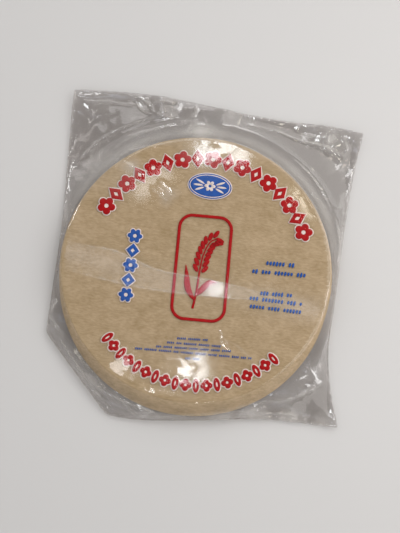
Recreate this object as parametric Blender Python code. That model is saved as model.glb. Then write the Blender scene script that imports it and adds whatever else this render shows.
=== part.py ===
"""A sealed clear pack of round rice paper wrappers, lying flat. Metres, +Z up.

The pack is one closed body. The stack's flat top and sloping side have the film drawn over
them, and thin wavy margins of doubled film lead out to the sealed edges. The origin is in the
flat underside that the pack rests on, below the middle of the stack, and +Y points to its head.
"""

import math

import bmesh
import bpy
from mathutils import Vector, noise
from mathutils.geometry import interpolate_bezier

COLLECTION_NAME = "rice_paper_pack"

# The stack: the upper wrappers lie towards the head, the lower ones have slid to the foot
WRAPPER_RADIUS = 0.110
STACK_HEIGHT = 0.0165
TOP_CENTRE_Y = 0.0037
BASE_CENTRE_Y = -0.0050
RIM_ROUND = 0.0022
TOP_UNEVENNESS = 0.0004

# The bag's edge from above, anticlockwise, one run from each corner to the next
RIGHT_SIDE = (
    (0.1294, -0.1074),
    (0.1201, -0.0781),
    (0.1143, -0.0450),
    (0.1149, -0.0100),
    (0.1164, 0.0500),
    (0.1190, 0.1000),
    (0.1232, 0.1372),
)
HEAD = (
    (0.1232, 0.1372),
    (0.0900, 0.1396),
    (0.0440, 0.1400),
    (0.0060, 0.1424),
    (-0.0340, 0.1461),
    (-0.0750, 0.1460),
    (-0.1233, 0.1417),
)
LEFT_SIDE = (
    (-0.1233, 0.1417),
    (-0.1190, 0.0794),
    (-0.1142, 0.0250),
    (-0.1132, -0.0200),
    (-0.1132, -0.0635),
)
FOLDED_CORNER = ((-0.1132, -0.0635), (-0.0545, -0.1222))
FOOT = (
    (-0.0545, -0.1222),
    (-0.0274, -0.1224),
    (0.0200, -0.1160),
    (0.0670, -0.1087),
    (0.1050, -0.1072),
    (0.1294, -0.1074),
)
EDGE_STEP = 0.0078

# The margins of doubled film
FILM_LAY = 0.0005
FILM_PAIR = 0.0012
TRAPPED_AIR = 0.0016
SEAL_WIDTH = 0.009
SEAL_PAIR = 0.0009
FOLD_PAIR = 0.0012
SEAL_SHARE = 0.35
TENT_REACH = 0.018
TENT_SHARE = 0.62
TENT_HOLLOW = 1.3
SIDE_MARGIN = 0.004
SIDE_LIFT = 0.0052
SIDE_LIFT_FADE = 0.006
WAVE_HEIGHT = 0.0030
WAVE_LENGTH = 0.048
CORNER_CURL = 0.0045
CURL_START = 0.148
CURL_REACH = 0.036
PLEAT_X = (0.006, 0.091, -0.048)
PLEAT_HEIGHT = 0.0022
PLEAT_HALF_WIDTH = 0.007
PLEAT_START_Y = 0.112
PLEAT_REACH = 0.020

# The rings of the surface, as shares of the stretch they lie in
TOP_RINGS = (0.25, 0.48, 0.70, 0.87)
RIM_TURNS = (0.0, 32.0, 62.0)
TENT_RINGS = (0.22, 0.50, 0.76, 1.0)
BASE_RING = 0.965

FILM_COLOUR = (0.47, 0.37, 0.22, 1.0)
FILM_ROUGHNESS = 0.18


def smooth_run(points):
    """Points about EDGE_STEP apart on a smooth curve through one run of the bag's edge."""
    knots = [Vector((x, y, 0.0)) for x, y in points]
    padded = [knots[0]] + knots + [knots[-1]]
    run = []
    for before, start, end, after in zip(padded, padded[1:], padded[2:], padded[3:]):
        steps = max(2, round((end - start).length / EDGE_STEP))
        out_handle = start + (end - before) / 6.0
        in_handle = end - (after - start) / 6.0
        run += interpolate_bezier(start, out_handle, in_handle, end, steps + 1)[:-1]
    return run


def clamp(value):
    return max(0.0, min(1.0, value))


def rim_radius(bearing, centre_y):
    """Distance from the origin to a wrapper's edge, for a wrapper centred on the Y axis."""
    across = centre_y * math.cos(bearing)
    return centre_y * math.sin(bearing) + math.sqrt(WRAPPER_RADIUS**2 - across**2)


def on_bearing(bearing, radius, height):
    return Vector((radius * math.cos(bearing), radius * math.sin(bearing), height))


class Spoke:
    """One bearing from the origin out to the bag's edge, with the heights along it."""

    def __init__(self, edge, folded):
        self.bearing = math.atan2(edge.y, edge.x)
        self.edge = edge.length
        self.top_rim = rim_radius(self.bearing, TOP_CENTRE_Y)
        self.base_rim = rim_radius(self.bearing, BASE_CENTRE_Y)
        self.margin = self.edge - max(self.top_rim, self.base_rim)
        tent = min(TENT_REACH, TENT_SHARE * self.margin)
        self.tent_foot = max(self.top_rim, self.base_rim) + tent
        self.seal = self.edge - min(SEAL_WIDTH, SEAL_SHARE * (self.edge - self.tent_foot))
        self.folded = folded

    def lay(self, radius):
        """Height of the lower film above the surface that the pack rests on."""
        start = max(self.top_rim, self.base_rim)
        share = clamp((radius - start) / self.margin)
        x = radius * math.cos(self.bearing)
        y = radius * math.sin(self.bearing)
        swell = 0.5 + 0.5 * noise.noise(Vector((x, y, WAVE_LENGTH)) / WAVE_LENGTH)
        narrow = min(1.0, math.exp((SIDE_MARGIN - self.margin) / SIDE_LIFT_FADE))
        curl = clamp((radius - CURL_START) / CURL_REACH) ** 2
        pleat = sum(math.exp(-(((x - at) / PLEAT_HALF_WIDTH) ** 2)) for at in PLEAT_X)
        pleat *= clamp((y - PLEAT_START_Y) / PLEAT_REACH)
        rise = WAVE_HEIGHT * swell * (1.0 - narrow) + SIDE_LIFT * narrow
        return FILM_LAY + share * (rise + CORNER_CURL * curl + PLEAT_HEIGHT * pleat)

    def film_gap(self, radius):
        """How far the upper film is above the lower one: most at the tent, least in the seal."""
        loose = clamp((self.seal - radius) / (self.seal - self.tent_foot))
        gap = SEAL_PAIR + (FILM_PAIR - SEAL_PAIR + TRAPPED_AIR) * loose
        return gap + (FOLD_PAIR if self.folded else 0.0)

    def top(self, share):
        """A point of the upper film where it lies on the stack."""
        radius = share * (self.top_rim - RIM_ROUND)
        x = radius * math.cos(self.bearing)
        y = radius * math.sin(self.bearing)
        uneven = TOP_UNEVENNESS * noise.noise(Vector((x, y, 0.0)) / WAVE_LENGTH)
        return on_bearing(self.bearing, radius, STACK_HEIGHT + uneven)

    def rim(self, turn):
        """A point of the upper film where it turns down over the stack's edge."""
        angle = math.radians(turn)
        radius = self.top_rim - RIM_ROUND * (1.0 - math.sin(angle))
        height = STACK_HEIGHT - RIM_ROUND * (1.0 - math.cos(angle))
        return on_bearing(self.bearing, radius, height)

    def tent(self, share):
        """A point of the upper film on its way down from the stack's edge."""
        last = self.rim(RIM_TURNS[-1])
        start = last.xy.length
        radius = start + share * (self.tent_foot - start)
        foot = self.lay(self.tent_foot) + self.film_gap(self.tent_foot)
        fall = (1.0 - share) ** TENT_HOLLOW
        return on_bearing(self.bearing, radius, foot + (last.z - foot) * fall)

    def upper_film(self, radius):
        return on_bearing(self.bearing, radius, self.lay(radius) + self.film_gap(radius))

    def lower_film(self, radius):
        return on_bearing(self.bearing, radius, self.lay(radius))

    def base(self, share):
        """A point of the flat underside."""
        return on_bearing(self.bearing, share * self.base_rim, 0.0)


def edge_spokes():
    runs = (RIGHT_SIDE, HEAD, LEFT_SIDE, FOLDED_CORNER, FOOT)
    return [Spoke(edge, run is FOLDED_CORNER) for run in runs for edge in smooth_run(run)]


def ring_places(spokes):
    """The rings from the middle of the top, out over the edge and back to the flat underside."""
    rings = [[spoke.top(share) for spoke in spokes] for share in TOP_RINGS]
    rings += [[spoke.rim(turn) for spoke in spokes] for turn in RIM_TURNS]
    rings += [[spoke.tent(share) for spoke in spokes] for share in TENT_RINGS]
    rings.append([spoke.upper_film((spoke.tent_foot + spoke.seal) / 2.0) for spoke in spokes])
    rings.append([spoke.upper_film(spoke.seal) for spoke in spokes])
    rings.append([spoke.upper_film(spoke.edge) for spoke in spokes])
    rings.append([spoke.lower_film(spoke.edge) for spoke in spokes])
    rings.append([spoke.lower_film(spoke.seal) for spoke in spokes])
    rings.append([spoke.lower_film((spoke.tent_foot + spoke.seal) / 2.0) for spoke in spokes])
    rings.append([spoke.lower_film(spoke.tent_foot) for spoke in spokes])
    rings.append([spoke.base(BASE_RING) for spoke in spokes])
    return rings


def sealed_bag_mesh(rings):
    """A disc whose border is extruded from ring to ring and closed by the flat underside."""
    form = bmesh.new()
    count = len(rings[0])
    disc = bmesh.ops.create_circle(form, cap_ends=True, cap_tris=True, segments=count, radius=1.0)
    centre, *around = sorted(disc["verts"], key=lambda vert: vert.co.length)
    around.sort(key=lambda vert: math.atan2(vert.co.y, vert.co.x))
    centre.co = Vector((0.0, 0.0, STACK_HEIGHT))
    spoke_of = {vert: index for index, vert in enumerate(around)}
    for vert, index in spoke_of.items():
        vert.co = rings[0][index]
    for ring in rings[1:]:
        border = [edge for edge in form.edges if edge.is_boundary]
        made = bmesh.ops.extrude_edge_only(form, edges=border)["geom"]
        fresh = [item for item in made if isinstance(item, bmesh.types.BMVert)]
        followed = {}
        for vert in fresh:
            behind = [edge.other_vert(vert) for edge in vert.link_edges]
            followed[vert] = next(spoke_of[old] for old in behind if old in spoke_of)
        for vert, index in followed.items():
            vert.co = ring[index]
        spoke_of = followed
    border = [edge for edge in form.edges if edge.is_boundary]
    bmesh.ops.edgeloop_fill(form, edges=border)
    bmesh.ops.recalc_face_normals(form, faces=form.faces)
    mesh = bpy.data.meshes.new("sealed_bag")
    form.to_mesh(mesh)
    form.free()
    return mesh


def clear_film_over_wrappers():
    """Clear film with the pale tan of the wrappers under it."""
    material = bpy.data.materials.new("clear_film_over_rice_paper")
    material.use_nodes = True
    shader = material.node_tree.nodes["Principled BSDF"]
    shader.inputs["Base Color"].default_value = FILM_COLOUR
    shader.inputs["Roughness"].default_value = FILM_ROUGHNESS
    shader.inputs["Metallic"].default_value = 0.0
    return material


def clear_scene():
    for item in list(bpy.data.objects):
        bpy.data.objects.remove(item)


def make_pack():
    collection = bpy.data.collections.new(COLLECTION_NAME)
    bpy.context.scene.collection.children.link(collection)
    spokes = sorted(edge_spokes(), key=lambda spoke: spoke.bearing)
    mesh = sealed_bag_mesh(ring_places(spokes))
    mesh.materials.append(clear_film_over_wrappers())
    mesh.shade_smooth()
    mesh.set_sharp_from_angle(angle=math.radians(50.0))
    collection.objects.link(bpy.data.objects.new("sealed_bag", mesh))


clear_scene()
make_pack()
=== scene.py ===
"""Dresses a packed bag of rice paper wrappers: clear film, the stack in it and the print."""

import math
import random

import bmesh
import bpy
import numpy as np
from bpy.props import FloatProperty, FloatVectorProperty, IntProperty, PointerProperty
from mathutils import Matrix, Vector, noise
from mathutils.bvhtree import BVHTree
from mathutils.geometry import interpolate_bezier


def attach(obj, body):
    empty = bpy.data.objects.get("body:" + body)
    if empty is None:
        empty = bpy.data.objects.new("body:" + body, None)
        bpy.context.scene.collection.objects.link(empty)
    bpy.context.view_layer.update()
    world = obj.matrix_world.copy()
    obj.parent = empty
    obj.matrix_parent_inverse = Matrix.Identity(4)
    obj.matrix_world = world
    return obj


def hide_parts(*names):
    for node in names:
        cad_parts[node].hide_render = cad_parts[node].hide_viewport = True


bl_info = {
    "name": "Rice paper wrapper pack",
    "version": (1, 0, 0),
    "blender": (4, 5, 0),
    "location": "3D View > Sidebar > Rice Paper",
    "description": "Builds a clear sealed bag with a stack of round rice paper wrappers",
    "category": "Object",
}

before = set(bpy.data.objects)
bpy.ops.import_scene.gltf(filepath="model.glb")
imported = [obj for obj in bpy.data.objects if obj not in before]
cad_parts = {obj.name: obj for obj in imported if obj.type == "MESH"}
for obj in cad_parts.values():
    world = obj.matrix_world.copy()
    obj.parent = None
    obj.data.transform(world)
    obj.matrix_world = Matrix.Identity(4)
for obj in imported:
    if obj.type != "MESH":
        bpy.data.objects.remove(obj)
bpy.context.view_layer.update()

MM = 0.001
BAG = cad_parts["sealed_bag"]
# Points of the bag closer than this are one
MERGE = 0.00002

# The stack inside the bag: the upper wrappers lie towards the head, the lower to the foot
TOP_CENTRE_Y = 3.7 * MM
BASE_CENTRE_Y = -5.0 * MM
TOP_CENTRE = Vector((0.0, TOP_CENTRE_Y))
BASE_CENTRE = Vector((0.0, BASE_CENTRE_Y))

# The sheets: the air under and over them, how far they lie out of line, and their unevenness
LOWEST_SHEET = 0.3 * MM
TOP_GAP = 0.5 * MM
SHEET_SHIFT_X = 0.15 * MM
SHEET_SHIFT_Y = 0.2 * MM
SHEET_TRIM = 0.45 * MM
SHEET_SEGMENTS = 120
OUT_OF_ROUND = 0.0015
SHEET_WAVE = 0.12 * MM
FACE_SEGMENTS = 180
FACE_RINGS = 44
BUCKLE_HEIGHT = 0.10 * MM
BUCKLE_LENGTHS = (40.0 * MM, 28.0 * MM)
FINE_BUCKLE_HEIGHT = 0.03 * MM
FINE_BUCKLE_LENGTHS = (11.0 * MM, 6.0 * MM)

# The stack's side: sheets let out below BULGE_START, and drawn in at the shoulder and the foot
BULGE_START = 14.2 * MM
BULGE_SLOPE = 0.25
BULGE_MOST = 0.9 * MM
SHOULDER_START = 13.2 * MM
SHOULDER_HEIGHT = 2.4 * MM
SHOULDER_DEPTH = 1.3 * MM
FOOT_HEIGHT = 1.5 * MM
FOOT_DEPTH = 2.2 * MM

# The film over the stack: the heights of its face and rim, and its long shallow waves
FILM_TOP = 16.45 * MM
FLAT_EDGE = 108.0 * MM
FLAT_FADE = 8.0 * MM
RIM_TOP = 15.88 * MM
RIM_REACH = 108.7 * MM
RIM_SMOOTHING = ((106.5 * MM, 113.5 * MM, 1), (111.5 * MM, 119.5 * MM, 4))
LEAST_LIFT = 0.15 * MM
LIFT_FADE = 0.4 * MM
TENSION_HEIGHT = 0.035 * MM
TENSION_EDGE = 112.0 * MM
TENSION_FADE = 12.0 * MM
TENSION_LEVEL = 0.8
LONG_WAVE = (90.0 * MM, 30.0 * MM)
SHORT_WAVE = (30.0 * MM, 11.0 * MM)
SHORT_WAVE_SHARE = 0.16

# The film round the stack: radial pulls at the tent, then the flat facets and fine crinkles
PULL_HEIGHT = 0.35 * MM
PULL_RING = 116.5 * MM
PULL_WIDTH = 5.0 * MM
# The first is an angle round the stack, the second a length outwards
PULL_LENGTHS = (1.0 / 26.0, 50.0 * MM)
MARGIN_START = 117.0 * MM
MARGIN_FADE = 6.0 * MM
LOWER_START = 111.0 * MM
LOWER_FADE = 4.0 * MM
LOWER_SHARE = 0.7
FACET_HEIGHT = 0.11 * MM
FACET_SIZE = 17 * MM
CRINKLE_HEIGHT = 0.12 * MM
CRINKLE_SIZE = 5.5 * MM
CRINKLE_PATCH = 30.0 * MM
LOWER_CRINKLES = 0.2

# Straight folds: in how many directions, and how their size and course vary
FOLD_DIRECTIONS = 5
FOLD_STRETCH = (0.7, 1.5)
FOLD_BEND = 0.35
FOLD_BEND_RATE = 1.7
FOLD_SHIFT = 3.0

# Creases: the step along their course, and how they fade to their ends and sides
CREASE_STEP = 4.0 * MM
CREASE_REACH = 5.0
CREASE_END = 0.25
CREASE_UNEVENNESS = 0.25
CREASE_BEAT = 2.4
PATCH_UNEVENNESS = 0.18
PATCH_LOBES = 3.0

# The film's mesh: rounds of splitting and smoothing, and where it is refined
COARSE_ROUNDS = 5
FINE_ROUNDS = 2
SMOOTHING_ROUNDS = 3
REFINE_ABOVE = 0.12
WORKED_WIDTHS = 2.2
MARGIN_WORKED = 0.5
CREST_WIDTHS = 0.6
FACING_UP = 0.1

# The film's look: how crinkled it is, how milky in its creases, and the painted light of a milky ring at
# the tent
FILM_INDEX = 1.6
CRINKLED_ON_STACK = 0.03
CRINKLED_LOOSE = 0.32
LEAST_MILK = 0.004
MOST_MILK = 0.6
CREASE_MILK = 0.40
CREASE_MILK_WIDTHS = 0.5
CRINKLE_MILK = 0.08
# Painted light: a milky ring where the film falls from the stack's edge, strongest towards the head
TENT_PAINTED_LIGHT = 0.24
TENT_RING = 114.5 * MM
TENT_RING_WIDTH = 5.5 * MM
TENT_LIGHT_PATCH = 20.0 * MM
TENT_LIGHT_FOOT = -20.0 * MM
TENT_LIGHT_FADE = 90.0 * MM

# Real sizes and depths of the patterns in the finishes
FILM_CRINKLE = (9 * MM, 9 * MM, 9 * MM)
FILM_CRINKLE_DEPTH = 0.3 * MM
PAPER_MOTTLE = (13 * MM, 8 * MM, 10 * MM)
MAT_DASH = (3.6 * MM, 1.3 * MM, 3 * MM)
MAT_DEPTH = 0.15 * MM
INK_SPOT = (3 * MM, 3 * MM, 3 * MM)
THIN_INK = 0.86
BOARD_GRAIN = (60 * MM, 60 * MM, 60 * MM)
BOARD_DEPTH = 0.2 * MM

# The two long streaks over the stack, where the stretched film creases
UPPER_STREAK = ((-108, 9), (-84, 9), (-66, 8), (-48, 2.5), (-28, -3), (11, -5.3), (41, -8), (62, -11))
LOWER_STREAK = ((-107, -12), (-70, -17), (-33, -19.5), (23, -18.4), (46, -16.6), (70, -18))

# Creases of the film, each a run of points across the bag with its height and half width
SEAL_CREASES = (
    (((-121, 134), (-106, 133.5), (-92, 135.5), (-78, 134.5), (-66, 136), (-58, 133)), 0.3, 0.8),
    (((44, 131.5), (71, 124), (90, 122), (103, 117), (114, 115)), 0.8, 0.7),
    (((20, 131.5), (34, 131), (52, 129.5), (64, 130.5)), 0.35, 1.1),
    (((-60, 132), (-42, 128.5), (-24, 128.5), (-8, 126), (14, 125)), 0.2, 0.7),
    (((-50, -116), (-20, -118.5), (20, -111.5), (58, -104), (100, -102), (126, -102.5)), 0.5, 1.1),
    (((60, -106), (84, -105.2), (106, -104.6)), 0.35, 0.8),
    (((30, -113), (48, -108.6), (62, -106.6)), 0.35, 0.8),
)
TENT_CREASES = (
    (((-117, 67), (-111, 79), (-97, 100), (-82, 112), (-60, 124), (-38, 132)), 0.45, 0.9),
    (((-88, 86), (-80, 97), (-66, 109), (-44, 120), (-20, 127)), 0.5, 0.9),
    (((-78, 104), (-62, 113), (-46, 118)), 0.4, 1.0),
    (((60, 111), (74, 103), (88, 91), (99, 76), (107, 60)), 0.45, 0.9),
    (((70, 92), (84, 83), (96, 70), (104, 58)), 0.35, 1.0),
    (((108, 62), (112, 52), (114, 41)), 0.6, 1.1),
    (((66, -95), (82, -92), (96, -86), (108, -78), (116, -66)), 0.45, 1.6),
    (((40, -106), (58, -98), (72, -93)), 0.6, 1.2),
    (((-58, -104), (-40, -110), (-22, -114), (-10, -117.5)), 0.7, 1.2),
    (((-76, -90), (-66, -100), (-58, -104)), 0.5, 1.2),
    (((-52, -102), (-42, -111), (-32, -119)), 0.5, 0.7),
    (((-52, -103), (-36, -108), (-20, -114)), 0.45, 0.7),
    (((-90, -70), (-80, -83), (-70, -93)), 0.4, 0.7),
)
FOLD_CREASES = (
    (((-105, -62), (-92, -77), (-76, -93), (-58, -111), (-50, -119)), 0.55, 0.9),
    (((-90, -83), (-74, -98), (-59, -113)), 0.45, 0.7),
    (((-112, -50), (-104, -58), (-97, -66)), 0.5, 1.2),
)
TOP_CREASES = (
    (UPPER_STREAK, 0.04, 2.4),
    (LOWER_STREAK, 0.04, 2.2),
    (((-76, 88), (-62, 96), (-44, 101)), 0.22, 1.6),
    (((-74, 83), (-60, 77), (-49, 69)), 0.2, 1.4),
    (((26, -44), (30, -52), (38, -60)), 0.18, 1.4),
    (((-40, 70), (-33, 64), (-26, 58)), 0.3, 1.5),
    (((-46, 62), (-38, 60), (-30, 54)), 0.25, 1.4),
)
LENS_FOLDS = (
    (((-71, 144), (-69, 137), (-62, 131), (-54, 130)), 0.5, 0.7),
    (((-71, 144), (-62, 140), (-56, 136), (-54, 130)), 0.45, 0.7),
    (((-60, 134), (-52, 141), (-44, 142.5), (-36, 141)), 0.45, 0.65),
    (((-52, 131), (-47, 133.5), (-40, 133), (-35, 131)), 0.2, 0.65),
    (((-20, 143), (-19, 135), (-22, 130)), 0.4, 0.8),
    (((6, 141), (4, 135), (5, 130)), 0.35, 0.8),
    (((92, 136), (94, 130), (93, 124)), 0.4, 0.8),
    (((105, 134), (109, 127), (111, 118)), 0.5, 0.7),
)

# Milky streaks over the stack, partly crease whitening and partly painted highlight, and soft patches of
# painted light: how milky, and half width or reach
CREASE_STREAKS_AND_HIGHLIGHTS = (
    (UPPER_STREAK, 0.30, 0.45),
    (LOWER_STREAK, 0.26, 0.45),
    (((26, -42), (28, -52), (31, -60), (36, -64)), 0.20, 0.5),
    (((31, -52), (40, -54), (50, -61), (60, -70)), 0.14, 0.5),
    (((-70, 95), (-56, 97), (-42, 101), (-28, 102)), 0.2, 0.5),
)
# Painted light: soft milky patches that lighten the film where it shows more light, at the glare over the
# stack and along the tent and margins
PAINTED_LIGHT_PATCHES = (
    ((-64, 78), 12, 0.22),
    ((-31, 59), 13, 0.16),
    ((-8, 101), 26, 0.12),
    ((-12, 119), 15, 0.21),
    ((-93, 88), 16, 0.07),
    ((36, -114), 14, 0.14),
    ((64, -108), 13, 0.16),
    ((90, -105), 14, 0.16),
    ((116, -104), 12, 0.14),
    ((92, 128), 16, 0.10),
    ((104, 123), 14, 0.12),
    ((103, 106), 14, 0.07),
    ((-72, 66), 30, 0.06),
)

# Patches where the film is crumpled: centre, reach, height and fold size
CRUMPLES = (
    ((-17, 124), 11, 1.0, 5.0),
    ((6, 109), 22, 0.2, 8.0),
    ((74, 131), 17, 0.8, 5.0),
    ((98, 128), 12, 0.5, 6.5),
    ((-67, 79), 11, 0.14, 6.0),
    ((-34, 62), 12, 0.10, 7.0),
    ((-50, -84), 18, 0.13, 6.5),
    ((0, -79), 17, 0.16, 6.0),
    ((-23, -102), 7, 0.35, 4.0),
    ((86, 71), 12, 0.3, 7.0),
    ((98, -69), 9, 0.9, 7.0),
    ((100, -82), 9, 0.8, 6.0),
    ((66, -99), 9, 0.6, 5.0),
    ((-68, -97), 9, 0.9, 6.0),
    ((-61, -103), 6, 0.5, 3.5),
    ((-98, 132), 18, 0.11, 6.0),
    ((-55, -6), 7, 0.15, 5.0),
)

# The print: its mesh, the ink's thickness and depths, and the pale outline's width
PRINT_CELL = 2.2 * MM
PRINT_ROUNDS = 4
INK_THICKNESS = 0.02 * MM
PALE_BELOW = 0.08 * MM
MARKS_ABOVE = 0.04 * MM
OUTLINE_WIDTH = 0.95 * MM

# The two red arcs: middle, first and last bearing in degrees, and how many ornaments
HEAD_ARC = ((1.6 * MM, 4.2 * MM), 154, 26, 17)
FOOT_ARC = ((4.0 * MM, -1.0 * MM), 223, 318, 19)

# The column of blue ornaments: its line, its first place, its pitch and how many
BLUE_X = -52.2
BLUE_TOP = 22.0
BLUE_PITCH = 12.1
BLUE_COUNT = 5

# The red frame's middle and tilt, and the ear of rice, in millimetres from that middle
FRAME_PLACE = (4.8 * MM, 3.6 * MM)
FRAME_TILT = math.radians(2.6)
FRAME_CORNER = 11.5 * MM
EAR_SPINE = ((-4.5, -33.5), (-2.6, -20.0), (-1.6, -4.0), (0.2, 10.0), (4.6, 21.0), (10.2, 24.5))
EAR_LEAVES = (
    ((-3.4, -27.0), (-9.5, -18.0), (-11.6, -6.5), (-13.0, 1.5)),
    ((-2.8, -23.0), (3.4, -15.5), (8.0, -11.0), (13.4, -11.5)),
)
EAR_TIP = (12.6, 23.4)
EAR_TIP_TURN = -2.0
STALK_WIDTH = 1.7
LEAF_WIDTH = 5.0
GRAIN_PITCH = 4.3 * MM
GRAIN_START = -7.0 * MM
GRAIN_LEAN = 0.62
GRAIN_OUT = 3.9 * MM
GRAIN_ACROSS = 1.5 * MM

# The blue oval: its middle, and the half widths and half heights of its ovals
BADGE_PLACE = (2.1 * MM, 71.2 * MM)
BADGE_OVALS = ((18.4 * MM, 11.2 * MM), (17.6 * MM, 10.4 * MM), (16.7 * MM, 9.5 * MM), (16.0 * MM, 8.8 * MM))
BADGE_LEAVES = ((3.0, 0.42), (0.0, 0.0), (-3.0, -0.42))
BADGE_LEAF_OUT = 9.6
BADGE_LEAF_CLOSE = 0.45

# Groups of tiny grains: the first one's length, the others', and how tall and slanted they are
FIRST_GROUP = (3, 7)
NEXT_GROUP = (4, 8)
GRAIN_HEIGHTS = (0.7, 1.05)
GRAIN_SLANT = 0.18

# Rows of tiny blue grains: first and last place, half width, half height and pitch
GRAIN_ROWS = (
    ((56.4, 14.4), (77.0, 15.4), 0.95, 2.2, 2.6),
    ((46.1, 6.4), (86.9, 8.5), 0.95, 2.2, 2.6),
    ((54.7, -10.4), (78.1, -9.1), 0.9, 2.1, 2.45),
    ((46.8, -15.5), (86.8, -14.9), 0.9, 2.1, 2.45),
    ((47.7, -21.9), (86.8, -21.3), 0.9, 2.1, 2.45),
    ((-6.2, -55.1), (18.2, -53.3), 0.48, 1.15, 1.45),
    ((-13.6, -59.4), (27.5, -56.9), 0.48, 1.15, 1.45),
    ((-21.7, -63.7), (37.4, -59.5), 0.48, 1.15, 1.45),
    ((-37.9, -67.5), (52.9, -62.9), 0.48, 1.15, 1.45),
    ((2.2, -69.9), (14.0, -69.1), 0.48, 1.15, 1.45),
)

# Colours of the light
WARM_WHITE = (1.0, 0.98, 0.95)
WHITE = (1.0, 1.0, 1.0)
PANE_BLUE = (0.86, 0.92, 1.0)
GLOW_BLUE = (0.74, 0.84, 1.0)
COOL_WHITE = (0.93, 0.97, 1.0)

# Lamps aimed at the pack: place, size of the face, its radiance and its colour
LAMPS = (
    ("key", (0.55, 1.05, 1.15), (1.30, 1.30), 1.7, WARM_WHITE),
    ("side_softbox", (0.45, 0.05, 0.55), (0.60, 0.60), 1.7, WARM_WHITE),
    ("far_softbox", (-0.2, 0.95, 1.9), (0.55, 0.40), 2.2, WHITE),
    ("right_softbox", (0.85, 0.25, 1.9), (0.25, 0.25), 6.0, (1.0, 0.98, 0.94)),
    ("left_lamp", (-0.8, 0.5, 1.4), (0.12, 0.12), 18.0, WHITE),
    ("back_lamp", (0.2, 1.6, 0.8), (0.5, 0.12), 5.0, WHITE),
    ("front_lamp", (0.15, -0.6, 1.9), (0.09, 0.09), 28.0, (1.0, 0.99, 0.96)),
)

# Panes facing straight down, for the film to mirror: place, size, turn in degrees, radiance, colour
PANES = (
    ("bright_pane_left", (-0.005, 0.290, 2.0), (0.017, 0.032), -5.0, 16.0, PANE_BLUE),
    ("bright_pane_right", (0.022, 0.288, 2.0), (0.021, 0.032), -5.0, 22.0, PANE_BLUE),
    ("glow_left_core", (-0.27, 0.322, 2.05), (0.46, 0.056), -8.0, 1.2, GLOW_BLUE),
    ("glow_left", (-0.31, 0.330, 2.06), (0.50, 0.094), -8.0, 0.45, GLOW_BLUE),
    ("glow_right", (0.12, 0.295, 2.05), (0.42, 0.030), -5.5, 1.8, GLOW_BLUE),
    ("glow_right_wide", (0.16, 0.285, 2.06), (0.50, 0.080), -5.5, 0.5, GLOW_BLUE),
    ("foot_pane", (-0.036, 0.045, 2.05), (0.100, 0.072), 20.0, 18.0, COOL_WHITE),
    ("foot_left_pane", (-0.244, 0.022, 2.05), (0.095, 0.065), 35.0, 8.0, (1.0, 0.97, 0.97)),
    ("head_pane", (-0.030, 0.752, 2.05), (0.160, 0.110), 10.0, 15.0, COOL_WHITE),
    ("right_pane", (0.262, 0.612, 2.05), (0.100, 0.070), -42.0, 9.0, (1.0, 0.95, 0.82)),
    ("upper_left_pane", (-0.225, 0.600, 2.05), (0.120, 0.045), 35.0, 5.0, (1.0, 0.99, 0.97)),
)

# Light of the studio's walls, ceiling and horizon
WALL_LIGHT = 1.1
CEILING_LIGHT = 0.08
HORIZON_LIGHT = 0.7

# The floor's half width and how far it lies under the pack
FLOOR_HALF_WIDTH = 3.0
FLOOR_GAP = 0.3 * MM

# The camera, and the pixel of the 400 by 533 picture in which the origin lies
CAMERA_DISTANCE = 0.75
CAMERA_TURN = math.radians(7.9)
CAMERA_TILT = math.radians(80.0)
IMAGE_HEIGHT = 533.0
IMAGE_MIDDLE = (200.0, 266.5)
ORIGIN_PIXEL = (195.4, 274.6)
FOCAL_PIXELS = 917.0
SENSOR_WIDTH = 36.0


def length_property(name, description, default):
    """A length that a user can change, in metres."""
    return FloatProperty(name=name, description=description, default=default, unit="LENGTH")


class PackSizes(bpy.types.PropertyGroup):
    """Sizes of the wrappers, the film and the print."""

    wrapper_radius: length_property("Wrapper radius", "Radius of one round wrapper", 0.1092)
    wrapper_thickness: length_property("Wrapper thickness", "Thickness of one wrapper", 0.00036)
    wrapper_count: IntProperty(
        name="Wrappers", description="How many wrappers the bag holds", default=32, min=2
    )
    stack_height: length_property("Stack height", "Height of the upper wrapper's face", 0.0156)
    film_cell: length_property("Film mesh size", "Longest edge in the smooth film", 0.0033)
    crease_cell: length_property("Crease mesh size", "Longest edge where it is creased", 0.00145)
    crest_cell: length_property("Crest mesh size", "Longest edge along its crests", 0.0008)
    ink_depth: length_property("Ink depth", "Depth of the ink under the film's face", 0.00010)
    arc_radius: length_property("Arc radius", "Radius of the rows of red ornaments", 0.0895)
    frame_width: length_property("Frame width", "Width of the red rounded frame", 0.0445)
    frame_height: length_property("Frame height", "Height of the red rounded frame", 0.0870)
    frame_line: length_property("Frame line", "Width of the red frame's line", 0.0025)


def srgb(hex_colour):
    """Linear colour of an sRGB hex value."""
    parts = [int(hex_colour[at : at + 2], 16) / 255.0 for at in (1, 3, 5)]
    return [part / 12.92 if part <= 0.04045 else ((part + 0.055) / 1.055) ** 2.4 for part in parts]


def colour_property(name, description, hex_colour):
    """A colour that a user can change, given as an sRGB hex value."""
    return FloatVectorProperty(
        name=name,
        description=description,
        default=srgb(hex_colour),
        size=3,
        min=0.0,
        max=1.0,
        subtype="COLOR",
    )


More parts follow.
